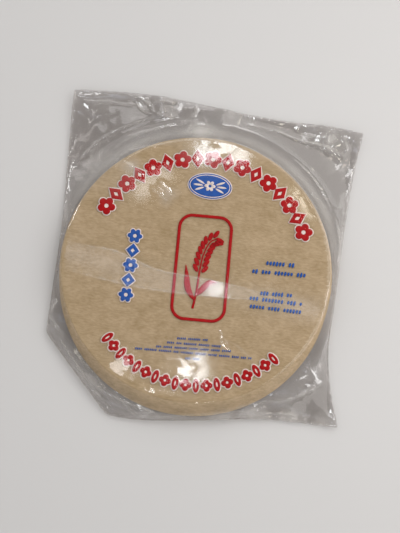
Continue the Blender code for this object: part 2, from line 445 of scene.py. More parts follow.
class PackColours(bpy.types.PropertyGroup):
    """Colours of the wrappers, the film, the inks and the floor."""

    paper: colour_property("Rice paper", "Pale tan of the dried rice paper", "#CCB593")
    paper_dark: colour_property("Rice paper shade", "Its darker mottling", "#B19A74")
    # Painted light: the lower sheets get a paler copy of the paper colours, which lifts the shade on the
    # stack's side at the foot
    side: colour_property("Stack side", "Edges of the sheets, paler as light passes on in them", "#DEC69F")
    side_dark_painted_lighter: colour_property("Stack side shade", "Their darker mottling", "#BFA77F")
    film: colour_property("Film", "What one layer of film lets through", "#E8E6E5")
    # Serves the film's real milkiness in creases and seals, and the painted light of the milky patches,
    # streaks and tent ring
    film_haze_and_painted_light: colour_property("Film haze", "Milky scatter of creases and seals", "#DAD6D0")
    red_ink: colour_property("Red ink", "Red of the ornaments and the frame", "#BE020B")
    blue_ink: colour_property("Blue ink", "Blue of the small ornaments", "#2F64BC")
    pale_ink: colour_property("Pale ink", "Outline round the coloured ink", "#FFF2EC")
    floor: colour_property("Floor", "Plain pale floor", "#BFBDBC")


def sizes():
    """The sizes as the scene holds them."""
    return bpy.context.scene.pack_sizes


def colours():
    """The colours as the scene holds them."""
    return bpy.context.scene.pack_colours


def opaque(colour):
    """A colour with full cover."""
    return (*colour, 1.0)


def add_node(tree, kind, settings=None, links=None):
    """Adds a node with its settings and links. A key is a socket's name or number, or a property."""
    node = tree.nodes.new(kind)
    for key, value in (settings or {}).items():
        if isinstance(key, str) and hasattr(node, key):
            setattr(node, key, value)
        else:
            node.inputs[key].default_value = value
    for key, source in (links or {}).items():
        tree.links.new(source, node.inputs[key])
    return node


def new_material(name):
    """A material with an empty node tree."""
    material = bpy.data.materials.new(name)
    material.use_nodes = True
    material.node_tree.nodes.clear()
    return material


def object_coordinates(tree, scale):
    """Object coordinates in lengths of scale, which may differ along the three axes."""
    place = add_node(tree, "ShaderNodeTexCoord")
    mapping = add_node(tree, "ShaderNodeMapping", links={"Vector": place.outputs["Object"]})
    mapping.inputs["Scale"].default_value = [1.0 / value for value in scale]
    return mapping.outputs["Vector"]


def finish_material(tree, shader):
    """Leads the shader to the material's output."""
    add_node(tree, "ShaderNodeOutputMaterial", links={"Surface": shader})


def clear_polypropylene_film():
    """Cast polypropylene film: clear and glossy, a little grey where it lies double.

    Fine crinkles break its reflections up, and its creases and seals are milky. Milky patches, streaks and
    a ring at the tent add painted light.
    """
    material = new_material("clear_polypropylene_film")
    tree = material.node_tree
    crinkle = add_node(
        tree,
        "ShaderNodeTexNoise",
        {"noise_type": "RIDGED_MULTIFRACTAL", "Scale": 1.0, "Detail": 2.0, "Roughness": 0.5},
        {"Vector": object_coordinates(tree, FILM_CRINKLE)},
    )
    worked = add_node(tree, "ShaderNodeAttribute", {"attribute_name": "crinkle"})
    strength = add_node(
        tree,
        "ShaderNodeMapRange",
        {"To Min": 0.0, "To Max": 0.8},
        {"Value": worked.outputs["Fac"]},
    )
    bump = add_node(
        tree,
        "ShaderNodeBump",
        {"Distance": FILM_CRINKLE_DEPTH},
        {"Height": crinkle.outputs["Fac"], "Strength": strength.outputs["Result"]},
    )
    through = add_node(tree, "ShaderNodeBsdfTransparent", {"Color": opaque(colours().film)})
    scatter = add_node(
        tree,
        "ShaderNodeBsdfDiffuse",
        {"Color": opaque(colours().film_haze_and_painted_light)},
        {"Normal": bump.outputs["Normal"]},
    )
    # The milky share carries crease whitening and painted light alike
    milky = add_node(tree, "ShaderNodeAttribute", {"attribute_name": "haze_and_painted_light"})
    body = add_node(
        tree,
        "ShaderNodeMixShader",
        links={0: milky.outputs["Fac"], 1: through.outputs[0], 2: scatter.outputs[0]},
    )
    mirror = add_node(
        tree,
        "ShaderNodeBsdfGlossy",
        {"Color": (1.0, 1.0, 1.0, 1.0), "Roughness": 0.06},
        {"Normal": bump.outputs["Normal"]},
    )
    side = add_node(tree, "ShaderNodeNewGeometry")
    # The node turns its index over at a back face, where thin film mirrors as at its front
    index = add_node(
        tree,
        "ShaderNodeMapRange",
        {"To Min": FILM_INDEX, "To Max": 1.0 / FILM_INDEX},
        {"Value": side.outputs["Backfacing"]},
    )
    edge_on = add_node(
        tree,
        "ShaderNodeFresnel",
        links={"IOR": index.outputs["Result"], "Normal": bump.outputs["Normal"]},
    )
    film = add_node(
        tree,
        "ShaderNodeMixShader",
        links={0: edge_on.outputs[0], 1: body.outputs[0], 2: mirror.outputs[0]},
    )
    finish_material(tree, film.outputs[0])
    return material


def dried_rice_paper(name, light, dark):
    """Rice paper dried on a woven mat: dry, pale tan, with rows of short dashes and soft mottling."""
    material = new_material(name)
    tree = material.node_tree
    mottling = add_node(
        tree,
        "ShaderNodeTexNoise",
        {"Scale": 1.0, "Detail": 3.0, "Roughness": 0.6},
        {"Vector": object_coordinates(tree, PAPER_MOTTLE)},
    )
    dashes = add_node(
        tree,
        "ShaderNodeTexNoise",
        {"Scale": 1.0, "Detail": 2.0, "Roughness": 0.5},
        {"Vector": object_coordinates(tree, MAT_DASH)},
    )
    both = add_node(
        tree,
        "ShaderNodeMath",
        {"operation": "ADD"},
        {0: mottling.outputs["Fac"], 1: dashes.outputs["Fac"]},
    )
    share = add_node(
        tree,
        "ShaderNodeMapRange",
        {"From Min": 0.70, "From Max": 1.26},
        {"Value": both.outputs[0]},
    )
    tone = add_node(
        tree,
        "ShaderNodeMix",
        {"data_type": "RGBA", 6: opaque(dark), 7: opaque(light)},
        {0: share.outputs["Result"]},
    )
    bump = add_node(
        tree,
        "ShaderNodeBump",
        {"Strength": 0.35, "Distance": MAT_DEPTH},
        {"Height": dashes.outputs["Fac"]},
    )
    paper = add_node(
        tree,
        "ShaderNodeBsdfPrincipled",
        {"Roughness": 0.62, "Specular IOR Level": 0.3},
        {"Base Color": tone.outputs[2], "Normal": bump.outputs["Normal"]},
    )
    finish_material(tree, paper.outputs[0])
    return material


def gravure_ink(name, colour):
    """Gravure ink on the film's inner face: even and dense, with slight thin spots."""
    material = new_material(name)
    tree = material.node_tree
    cover = add_node(
        tree,
        "ShaderNodeTexNoise",
        {"Scale": 1.0, "Detail": 2.0},
        {"Vector": object_coordinates(tree, INK_SPOT)},
    )
    thin = [THIN_INK * part for part in colour]
    share = add_node(
        tree,
        "ShaderNodeMapRange",
        {"From Min": 0.3, "From Max": 0.6},
        {"Value": cover.outputs["Fac"]},
    )
    tone = add_node(
        tree,
        "ShaderNodeMix",
        {"data_type": "RGBA", 6: opaque(thin), 7: opaque(colour)},
        {0: share.outputs["Result"]},
    )
    ink = add_node(
        tree,
        "ShaderNodeBsdfPrincipled",
        {"Roughness": 0.5, "Specular IOR Level": 0.1},
        {"Base Color": tone.outputs[2]},
    )
    finish_material(tree, ink.outputs[0])
    return material


def painted_floor():
    """Matt painted board: plain and pale, with a faint unevenness."""
    material = new_material("matt_painted_board")
    tree = material.node_tree
    grain = add_node(
        tree,
        "ShaderNodeTexNoise",
        {"Scale": 1.0, "Detail": 2.0},
        {"Vector": object_coordinates(tree, BOARD_GRAIN)},
    )
    bump = add_node(
        tree,
        "ShaderNodeBump",
        {"Strength": 0.1, "Distance": BOARD_DEPTH},
        {"Height": grain.outputs["Fac"]},
    )
    board = add_node(
        tree,
        "ShaderNodeBsdfPrincipled",
        {"Base Color": opaque(colours().floor), "Roughness": 0.7, "Specular IOR Level": 0.2},
        {"Normal": bump.outputs["Normal"]},
    )
    finish_material(tree, board.outputs[0])
    return material


def object_from(form, name, material):
    """A smooth-shaded object at the origin, made from a bmesh that is then freed."""
    mesh = bpy.data.meshes.new(name)
    form.to_mesh(mesh)
    form.free()
    mesh.materials.append(material)
    mesh.shade_smooth()
    piece = bpy.data.objects.new(name, mesh)
    bpy.context.scene.collection.objects.link(piece)
    return piece


def smooth_path(points_mm, step=1.5 * MM):
    """Points about a step apart on a smooth curve through points given in millimetres."""
    knots = [Vector((x, y, 0.0)) * MM for x, y in points_mm]
    padded = [knots[0]] + knots + [knots[-1]]
    path = []
    for before, start, end, after in zip(padded, padded[1:], padded[2:], padded[3:]):
        steps = max(2, round((end - start).length / step))
        out_handle = start + (end - before) / 6.0
        in_handle = end - (after - start) / 6.0
        path += interpolate_bezier(start, out_handle, in_handle, end, steps + 1)[:-1]
    return path + [knots[-1]]


def crease_profile(places, points_mm, half_width):
    """Share of a crease's height at each place: 1 on its crest, fading to its sides and ends."""
    path = np.array([point.xy for point in smooth_path(points_mm, CREASE_STEP)])
    reach = CREASE_REACH * half_width * MM
    near = np.all((places > path.min(axis=0) - reach) & (places < path.max(axis=0) + reach), axis=1)
    within = places[near]
    best = np.full(len(within), np.inf)
    along = np.zeros(len(within))
    for index in range(len(path) - 1):
        start, run = path[index], path[index + 1] - path[index]
        share = np.clip((within - start) @ run / (run @ run), 0.0, 1.0)
        away = np.linalg.norm(within - start - share[:, None] * run, axis=1)
        nearer = away < best
        best = np.where(nearer, away, best)
        along = np.where(nearer, (index + share) / (len(path) - 1), along)
    ends = np.clip(np.minimum(along, 1.0 - along) / CREASE_END, 0.0, 1.0)
    beat = np.sin(along * len(path) * CREASE_BEAT)
    uneven = 1.0 - CREASE_UNEVENNESS * (1.0 - beat)
    profile = np.zeros(len(places))
    profile[near] = np.exp(-best / (half_width * MM)) * ends * uneven
    return profile


def sharp_folds(places, size, seed):
    """Straight folds with sharp crests in several directions, from about -1 to 1."""
    draw = random.Random(seed)
    total = np.zeros(len(places))
    for _ in range(FOLD_DIRECTIONS):
        turn = draw.uniform(0.0, math.pi)
        stretch = size * draw.uniform(*FOLD_STRETCH)
        across = (places[:, 0] * math.cos(turn) + places[:, 1] * math.sin(turn)) / stretch
        along = (places[:, 1] * math.cos(turn) - places[:, 0] * math.sin(turn)) / stretch
        bend = FOLD_BEND * np.sin(along * FOLD_BEND_RATE + draw.uniform(0.0, math.tau))
        shift = draw.uniform(0.0, FOLD_SHIFT)
        total += 1.0 - 2.0 * np.abs(np.sin(math.pi * (across + bend) / 2.0 + shift))
    return total / FOLD_DIRECTIONS


def patch_share(places, centre_mm, reach_mm):
    """1 at the middle of a patch, fading to 0 at its uneven border."""
    offset = places - np.array(centre_mm) * MM
    bearing = np.arctan2(offset[:, 1], offset[:, 0])
    lobes = np.sin(PATCH_LOBES * bearing + centre_mm[0])
    border = reach_mm * MM * (1.0 + PATCH_UNEVENNESS * lobes)
    share = np.clip(1.0 - np.linalg.norm(offset, axis=1) / border, 0.0, 1.0)
    return share * share * (3.0 - 2.0 * share)


def all_creases():
    """Every crease of the film, over the stack and round it."""
    return SEAL_CREASES + TENT_CREASES + FOLD_CREASES + TOP_CREASES + LENS_FOLDS


def worked_share(places):
    """How creased the film is at each place, from 0 to 1: what is refined and crinkled."""
    share = np.zeros(len(places))
    for points, _, half_width in all_creases():
        share = np.maximum(share, crease_profile(places, points, WORKED_WIDTHS * half_width))
    for centre, reach, _, _ in CRUMPLES:
        share = np.maximum(share, patch_share(places, centre, reach))
    return share


def refined_share(places):
    """Where the film needs the finer mesh: its creases and all of its margins."""
    return np.maximum(worked_share(places), MARGIN_WORKED * margin_share(places))


def crest_share(places):
    """Where the film needs the finest mesh: along the crests of its creases and streaks."""
    share = np.zeros(len(places))
    for points, _, half_width in SEAL_CREASES + TENT_CREASES + FOLD_CREASES + LENS_FOLDS:
        share = np.maximum(share, crease_profile(places, points, CREST_WIDTHS * half_width))
    for points, _, half_width in CREASE_STREAKS_AND_HIGHLIGHTS:
        share = np.maximum(share, crease_profile(places, points, half_width))
    return share


def split_long_edges(form, longest, rounds, places_share=None, keep=None):
    """Splits the edges longer than given, in a set number of rounds, but not those to keep."""
    for _ in range(rounds):
        form.normal_update()
        edges = [edge for edge in form.edges if edge.calc_length() > longest]
        if keep is not None:
            edges = [edge for edge in edges if not keep(edge)]
        if places_share is not None and edges:
            middles = np.array([((e.verts[0].co + e.verts[1].co) / 2.0).xy for e in edges])
            share = places_share(middles)
            edges = [edge for edge, value in zip(edges, share) if value > REFINE_ABOVE]
        if not edges:
            return
        bmesh.ops.subdivide_edges(form, edges=edges, cuts=1)
        bmesh.ops.triangulate(form, faces=[face for face in form.faces if len(face.verts) > 3])


def faces_down(edge):
    """Whether an edge lies in the lower film or the underside, which stay coarser."""
    return all(face.normal.z < FACING_UP for face in edge.link_faces)


def inside_base(edge):
    """Whether an edge lies within the flat underside, which needs no refining."""
    return all(vert.co.z < MERGE for face in edge.link_faces for vert in face.verts)


def soft_noise(x, y, lengths, layer):
    """Soft noise from about -1 to 1, with a length for each direction. A layer is a pattern."""
    return noise.noise(Vector((x / lengths[0], y / lengths[1], layer)))


def slow_noise(places, length, layer):
    """Soft noise of one length at each place."""
    return np.array([soft_noise(x, y, (length, length), layer) for x, y in places])


def gather_folds(bearing, radius):
    """Fine radial pulls where the film drops from the stack's edge."""
    pulls = np.array([soft_noise(a, r, PULL_LENGTHS, 4.0) for a, r in zip(bearing, radius)])
    return PULL_HEIGHT * pulls * np.exp(-(((radius - PULL_RING) / PULL_WIDTH) ** 2))


def distance_from(places, centre):
    """Distance of each place from a centre, seen from above."""
    return np.linalg.norm(places - np.array(centre), axis=1)


def margin_share(places):
    """1 in the bag's margins, 0 over the stack."""
    return np.clip((distance_from(places, TOP_CENTRE) - MARGIN_START) / MARGIN_FADE, 0.0, 1.0)


def margin_folds(places, upper):
    """Long flat facets and small crinkles of the loose film round the stack."""
    patchy = np.clip(0.45 + 1.3 * slow_noise(places, CRINKLE_PATCH, 3.5), 0.0, 1.0)
    facets = FACET_HEIGHT * (0.5 + 0.5 * sharp_folds(places, FACET_SIZE, 91))
    folds = sharp_folds(places, CRINKLE_SIZE, 92 if upper else 93)
    crinkles = CRINKLE_HEIGHT * (0.5 + 0.5 * folds) * patchy
    return margin_share(places) * (facets + (1.0 if upper else LOWER_CRINKLES) * crinkles)


def film_relief(places, upper):
    """Height to add to the film at each place, for the upper or the lower layer."""
    relief = margin_folds(places, upper)
    for points, height, half_width in all_creases():
        relief += height * MM * crease_profile(places, points, half_width)
    for index, (centre, reach, height, size) in enumerate(CRUMPLES):
        folds = sharp_folds(places, size * MM, index if upper else 50 + index)
        relief += height * MM * (0.5 + 0.5 * folds) * patch_share(places, centre, reach)
    return relief


def top_tension(places, radius):
    """Long shallow waves where the film is stretched flat over the stack."""
    flat = np.clip((TENSION_EDGE - radius) / TENSION_FADE, 0.0, 1.0)
    waves = np.array([soft_noise(x, y, LONG_WAVE, 2.0) for x, y in places])
    waves += SHORT_WAVE_SHARE * np.array([soft_noise(x, y, SHORT_WAVE, 5.0) for x, y in places])
    return TENSION_HEIGHT * flat * (TENSION_LEVEL + waves)


def smooth(form, verts, rounds, sideways):
    """Evens points out in height, and sideways too where asked."""
    for _ in range(rounds):
        bmesh.ops.smooth_vert(
            form,
            verts=verts,
            factor=0.5,
            use_axis_x=sideways,
            use_axis_y=sideways,
            use_axis_z=True,
        )


def refined_bag():
    """The solid's own form with its mesh made fine enough for the creases."""
    form = bmesh.new()
    form.from_mesh(BAG.data)
    bmesh.ops.remove_doubles(form, verts=form.verts, dist=MERGE)
    split_long_edges(form, sizes().film_cell, COARSE_ROUNDS, keep=inside_base)
    free = [vert for vert in form.verts if vert.co.z > MERGE]
    smooth(form, free, SMOOTHING_ROUNDS, True)
    split_long_edges(form, sizes().crease_cell, FINE_ROUNDS, refined_share, faces_down)
    split_long_edges(form, sizes().crest_cell, FINE_ROUNDS, crest_share, faces_down)
    form.normal_update()
    return form


def film_form():
    """The bag's outer face: the solid's form, flat on the stack, soft at the rim and creased."""
    form = refined_bag()
    verts = list(form.verts)
    places = np.array([vert.co.xy for vert in verts])
    height = np.array([vert.co.z for vert in verts])
    upward = np.array([vert.normal.z for vert in verts]) > 0.0
    offset = places - np.array(TOP_CENTRE)
    bearing = np.arctan2(offset[:, 1], offset[:, 0])
    radius = np.linalg.norm(offset, axis=1)
    lifted = np.clip(height / LIFT_FADE, 0.0, 1.0)
    past_base = np.clip((distance_from(places, BASE_CENTRE) - LOWER_START) / LOWER_FADE, 0.0, 1.0)
    upper = film_relief(places, True)
    lower = LOWER_SHARE * past_base * np.minimum(upper, film_relief(places, False))
    taut = gather_folds(bearing, radius) + top_tension(places, radius)
    on_stack = np.clip((FLAT_EDGE - radius) / FLAT_FADE, 0.0, 1.0) * upward
    height += on_stack * (FILM_TOP - height)
    height = height + lifted * np.where(upward, upper + taut, lower)
    height = np.where(upward & (radius < RIM_REACH), np.maximum(height, RIM_TOP), height)
    height = np.where(height > MERGE, np.maximum(height, LEAST_LIFT), height)
    for vert, level in zip(verts, height):
        vert.co.z = level
    for inner, outer, rounds in RIM_SMOOTHING:
        near = (radius > inner) & (radius < outer) & upward
        smooth(form, [vert for vert, inside in zip(verts, near) if inside], rounds, False)
    return form


def tent_painted_light(places):
    """Painted light: how milky the film is made where it falls from the stack's edge, most of all at the
    head, standing in for the light the tent mirrors there.
    """
    from_ring = (distance_from(places, TOP_CENTRE) - TENT_RING) / TENT_RING_WIDTH
    head = np.clip((places[:, 1] - TENT_LIGHT_FOOT) / TENT_LIGHT_FADE, 0.0, 1.0)
    patchy = 0.8 + 0.5 * slow_noise(places, TENT_LIGHT_PATCH, 6.5)
    return TENT_PAINTED_LIGHT * np.exp(-(from_ring**2)) * head * patchy


def mark_film(piece):
    """Writes how crinkled and how milky the film is at each of its points; part of the milkiness is painted
    light.
    """
    mesh = piece.data
    flat = np.empty(len(mesh.vertices) * 3)
    mesh.vertices.foreach_get("co", flat)
    places = flat.reshape(-1, 3)[:, :2]
    loose = margin_share(places)
    share = CRINKLED_ON_STACK + (1.0 - CRINKLED_ON_STACK) * loose
    crinkled = np.maximum(worked_share(places) * share, CRINKLED_LOOSE * loose)
    milk_and_painted_light = LEAST_MILK + CRINKLE_MILK * crinkled + tent_painted_light(places)
    for points, height, half_width in all_creases():
        profile = crease_profile(places, points, CREASE_MILK_WIDTHS * half_width)
        milk_and_painted_light += CREASE_MILK * min(1.0, height) * profile
    # Milky lines along the streaks: crease whitening, and a painted highlight along the edges of the band
    # of mirrored light
    for points, most, half_width in CREASE_STREAKS_AND_HIGHLIGHTS:
        milk_and_painted_light += most * crease_profile(places, points, half_width)
    # Painted light: soft milky patches that lighten the film where it shows more light
    for centre, reach, most in PAINTED_LIGHT_PATCHES:
        milk_and_painted_light += most * patch_share(places, centre, reach)
    for name, values in (("crinkle", crinkled), ("haze_and_painted_light", np.clip(milk_and_painted_light, 0.0, MOST_MILK))):
        layer = mesh.attributes.new(name, "FLOAT", "POINT")
        layer.data.foreach_set("value", values.astype(np.float32))


class PACK_OT_film(bpy.types.Operator):
    """Make the clear film of the bag"""

    bl_idname = "pack.film"
    bl_label = "Film"

    def execute(self, context):
        piece = object_from(film_form(), "film_bag", clear_polypropylene_film())
        mark_film(piece)
        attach(piece, "root")
        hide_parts("sealed_bag")
        return {"FINISHED"}


def wrapper_disc(form, centre, base, radius, thickness, seed):
    """One thin wrapper: a round outline a little out of true, given its thickness."""
    disc = bmesh.ops.create_circle(form, cap_ends=True, segments=SHEET_SEGMENTS, radius=radius)
    for vert in disc["verts"]:
        bearing = math.atan2(vert.co.y, vert.co.x)
        around = Vector((math.cos(bearing), math.sin(bearing), seed * 3.7))
        vert.co *= 1.0 + OUT_OF_ROUND * noise.noise(around * 1.6)
        vert.co.z = SHEET_WAVE * noise.noise(around * 2.3)
    bmesh.ops.translate(form, verts=disc["verts"], vec=(centre.x, centre.y, base))
    faces = list({face for vert in disc["verts"] for face in vert.link_faces})
    raised = bmesh.ops.extrude_face_region(form, geom=faces)["geom"]
    top = [item for item in raised if isinstance(item, bmesh.types.BMVert)]
    bmesh.ops.translate(form, verts=top, vec=(0.0, 0.0, thickness))


def stack_centre(share, draw):
    """Centre of a wrapper at a share of the stack's height."""
    y = BASE_CENTRE_Y + share * (TOP_CENTRE_Y - BASE_CENTRE_Y)
    x = draw.uniform(-SHEET_SHIFT_X, SHEET_SHIFT_X)
    return Vector((x, y + draw.uniform(-SHEET_SHIFT_Y, SHEET_SHIFT_Y)))


def rim_room(height):
    """Radius that the film leaves a wrapper at this height, less at the top and the bottom."""
    bulge = min(BULGE_MOST, max(0.0, BULGE_SLOPE * (BULGE_START - height)))
    shoulder = SHOULDER_DEPTH * max(0.0, (height - SHOULDER_START) / SHOULDER_HEIGHT) ** 2
    foot = FOOT_DEPTH * max(0.0, 1.0 - height / FOOT_HEIGHT)
    return sizes().wrapper_radius + bulge - shoulder - foot


def lower_wrappers_form():
    """The sheets under the uppermost one, each a little out of line."""
    form = bmesh.new()
    draw = random.Random(11)
    count = sizes().wrapper_count
    pitch = (sizes().stack_height - TOP_GAP) / count
    for index in range(count - 1):
        centre = stack_centre(index / (count - 1), draw)
        base = LOWEST_SHEET + index * pitch
        radius = rim_room(base) - draw.uniform(0.0, SHEET_TRIM)
        wrapper_disc(form, centre, base, radius, sizes().wrapper_thickness, index)
    bmesh.ops.recalc_face_normals(form, faces=form.faces)
    return form


def upper_wrapper_form():
    """The wrapper that shows: finer, with the soft buckling of a dried sheet."""
    form = bmesh.new()
    first = rim_room(sizes().stack_height) / FACE_RINGS
    bmesh.ops.create_circle(
        form, cap_ends=True, cap_tris=True, segments=FACE_SEGMENTS, radius=first
    )
    for ring in range(2, FACE_RINGS + 1):
        border = [edge for edge in form.edges if edge.is_boundary]
        made = bmesh.ops.extrude_edge_only(form, edges=border)["geom"]
        fresh = [item for item in made if isinstance(item, bmesh.types.BMVert)]
        bmesh.ops.scale(form, vec=(ring / (ring - 1),) * 3, verts=fresh)
    for vert in form.verts:
        buckle = BUCKLE_HEIGHT * soft_noise(vert.co.x, vert.co.y, BUCKLE_LENGTHS, 7.0)
        fine = FINE_BUCKLE_HEIGHT * soft_noise(vert.co.x, vert.co.y, FINE_BUCKLE_LENGTHS, 9.0)
        vert.co.z = sizes().stack_height + buckle + fine
        vert.co.y += TOP_CENTRE_Y
    bmesh.ops.recalc_face_normals(form, faces=form.faces)
    lowered = bmesh.ops.extrude_face_region(form, geom=list(form.faces))["geom"]
    under = [item for item in lowered if isinstance(item, bmesh.types.BMVert)]
    bmesh.ops.translate(form, verts=under, vec=(0.0, 0.0, -sizes().wrapper_thickness))
    bmesh.ops.recalc_face_normals(form, faces=form.faces)
    return form


class PACK_OT_wrappers(bpy.types.Operator):
    """Make the stack of rice paper wrappers"""

    bl_idname = "pack.wrappers"
    bl_label = "Wrappers"

    def execute(self, context):
        face = dried_rice_paper("dried_rice_paper", colours().paper, colours().paper_dark)
        # Painted light: the lower sheets take the paler copy of the paper, so their sides at the foot show
        # lighter than their shade
        side = dried_rice_paper("rice_paper_edges_painted_lighter", colours().side, colours().side_dark_painted_lighter)
        forms = {
            "lower_wrappers": (lower_wrappers_form(), side),
            "upper_wrapper": (upper_wrapper_form(), face),
        }
        for name, (form, paper) in forms.items():
            piece = object_from(form, name, paper)
            piece.data.set_sharp_from_angle(angle=math.radians(40.0))
            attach(piece, "root")
            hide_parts("sealed_bag")
        return {"FINISHED"}


class FilmSurface:
    """Finds the film's outer face above a place on the bag."""

    def __init__(self):
        form = bmesh.new()
        form.from_mesh(bpy.data.objects["film_bag"].data)
        self.tree = BVHTree.FromBMesh(form)
        form.free()

    def height(self, x, y):
        hit = self.tree.ray_cast(Vector((x, y, 1.0)), Vector((0.0, 0.0, -1.0)))[0]
        if hit is None:
            raise RuntimeError("a printed shape reaches past the film")
        return hit.z


def ellipse(half_width, half_height):
    """Outline of an ellipse as its radius at each bearing."""

    def radius(bearing):
        across = math.cos(bearing) / half_width
        return 1.0 / math.hypot(across, math.sin(bearing) / half_height)

    return radius


def blossom(size, lobes=5, depth=0.30):
    """Outline of a blossom with rounded lobes."""

    def radius(bearing):
        return size * (1.0 - depth + depth * abs(math.cos(lobes * bearing / 2.0)) ** 0.8)

    return radius


def lozenge(half_width, half_height):
    """Outline of a lozenge with its points up and to the sides."""

    def radius(bearing):
        return 1.0 / (abs(math.cos(bearing)) / half_width + abs(math.sin(bearing)) / half_height)

    return radius


def rounded_box(half_width, half_height, corner):
    """Outline of a box with rounded corners."""
    pivot = Vector((half_width - corner, half_height - corner))

    def radius(bearing):
        along = Vector((abs(math.cos(bearing)), abs(math.sin(bearing))))
        side = half_width / max(along.x, 0.0001)
        head = half_height / max(along.y, 0.0001)
        if side * along.y <= pivot.y:
            return side
        if head * along.x <= pivot.x:
            return head
        near = along.dot(pivot)
        return near + math.sqrt(near**2 - pivot.length_squared + corner**2)

    return radius


def grown(outline, by):
    """An outline moved outwards all round."""
    return lambda bearing: outline(bearing) + by


def add_ribbon(form, points_mm, width_mm, fullness):
    """Adds a flat ribbon along a curve, with its width at each share of its length."""
    path = smooth_path(points_mm, 1.2 * MM)
    made = bmesh.ops.create_grid(form, x_segments=len(path) - 1, y_segments=1, size=1.0)
    for vert in made["verts"]:
        share = (vert.co.x + 1.0) / 2.0
        index = min(len(path) - 2, int(share * (len(path) - 1)))
        run = (path[index + 1] - path[index]).normalized()
        place = path[index].lerp(path[index + 1], share * (len(path) - 1) - index)
        side = Vector((-run.y, run.x, 0.0)) * (0.5 * vert.co.y * width_mm * MM * fullness(share))
        vert.co = place + side


def add_shape(form, outline, centre, turn=0.0, hole=None, segments=40):
    """Adds a flat shape given by its radius at each bearing, with a hole if one is given."""
    made = bmesh.ops.create_circle(
        form, cap_ends=hole is None, cap_tris=hole is None, segments=segments, radius=1.0
    )
    rim = [vert for vert in made["verts"] if vert.co.length > 0.5]
    inner = []
    if hole is not None:
        edges = list({edge for vert in rim for edge in vert.link_edges})
        inner = bmesh.ops.extrude_edge_only(form, edges=edges)["geom"]
        inner = [item for item in inner if isinstance(item, bmesh.types.BMVert)]
    for verts, shape in ((rim, outline), (inner, hole)):
        for vert in verts:
            bearing = math.atan2(vert.co.y, vert.co.x)
            vert.co.xy = vert.co.xy.normalized() * shape(bearing)
    place = Matrix.Translation((centre[0], centre[1], 0.0)) @ Matrix.Rotation(turn, 4, "Z")
    bmesh.ops.transform(form, matrix=place, verts=made["verts"] + inner)


def print_object(form, name, material, depth, surface):
    """Lays flat shapes just under the film's outer face and gives them the ink's thickness."""
    split_long_edges(form, PRINT_CELL, PRINT_ROUNDS)
    for vert in form.verts:
        vert.co.z = surface.height(vert.co.x, vert.co.y) - depth
    bmesh.ops.recalc_face_normals(form, faces=form.faces)
    raised = bmesh.ops.extrude_face_region(form, geom=list(form.faces))["geom"]
    top = [item for item in raised if isinstance(item, bmesh.types.BMVert)]
    bmesh.ops.translate(form, verts=top, vec=(0.0, 0.0, INK_THICKNESS))
    bmesh.ops.recalc_face_normals(form, faces=form.faces)
    piece = object_from(form, name, material)
    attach(piece, "root")
    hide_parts("sealed_bag")
    return piece


def arc_places(arc):
    """Places along an arc with the turn that stands each ornament upright to it."""
    centre, first, last, count = arc
    radius = sizes().arc_radius
    places = []
    for index in range(count):
        bearing = math.radians(first + (last - first) * index / (count - 1))
        x = centre[0] + radius * math.cos(bearing)
        y = centre[1] + radius * math.sin(bearing)
        places.append(((x, y), bearing - math.pi / 2.0))
    return places


def set_by_turns(places, ornaments):
    """Sets ornaments, each an outline and its hole, by turns at places given with their turns."""
    shapes = []
    for index, (place, turn) in enumerate(places):
        outline, hole = ornaments[index % len(ornaments)]
        shapes.append((outline, place, turn, hole))
    return shapes


def red_ornaments():
    """The red ornaments of both arcs: outline, place, turn and hole of each."""
    head = (
        (blossom(7.4 * MM), ellipse(1.7 * MM, 1.7 * MM)),
        (lozenge(5.2 * MM, 7.8 * MM), lozenge(1.5 * MM, 2.4 * MM)),
    )
    foot = (
        (ellipse(2.6 * MM, 5.4 * MM), ellipse(0.6 * MM, 2.0 * MM)),
        (blossom(4.8 * MM, 4), ellipse(1.0 * MM, 1.0 * MM)),
    )
    return set_by_turns(arc_places(HEAD_ARC), head) + set_by_turns(arc_places(FOOT_ARC), foot)


def blue_ornaments():
    """The blue ornaments of the column: outline, place, turn and hole of each."""
    column = (
        (blossom(6.0 * MM, 6, 0.35), ellipse(1.5 * MM, 1.5 * MM)),
        (lozenge(5.4 * MM, 5.8 * MM), lozenge(1.6 * MM, 1.8 * MM)),
    )
    heights = [(BLUE_TOP - BLUE_PITCH * index) * MM for index in range(BLUE_COUNT)]
    return set_by_turns([((BLUE_X * MM, height), 0.0) for height in heights], column)


def framed(x, y):
    """A place given from the middle of the tilted red frame."""
    turn = FRAME_TILT
    return (
        FRAME_PLACE[0] + x * math.cos(turn) - y * math.sin(turn),
        FRAME_PLACE[1] + x * math.sin(turn) + y * math.cos(turn),
    )


def add_frame(red):
    """The plain rounded frame, drawn as one even line."""
    half_width = sizes().frame_width / 2.0
    half_height = sizes().frame_height / 2.0
    line = sizes().frame_line
    outer = rounded_box(half_width, half_height, FRAME_CORNER)
    inner = rounded_box(half_width - line, half_height - line, FRAME_CORNER - line)
    add_shape(red, outer, FRAME_PLACE, FRAME_TILT, inner, 220)


def framed_run(points_mm):
    """A run of points in millimetres, given from the middle of the tilted red frame."""
    return [tuple(value / MM for value in framed(x * MM, y * MM)) for x, y in points_mm]


def stalk_fullness(share):
    """The stalk thins from its foot to its tip."""
    return 1.15 - 0.6 * share


def leaf_fullness(share):
    """A leaf is widest below its middle and ends in a point."""
    return max(0.05, math.sin(math.pi * share**0.8))


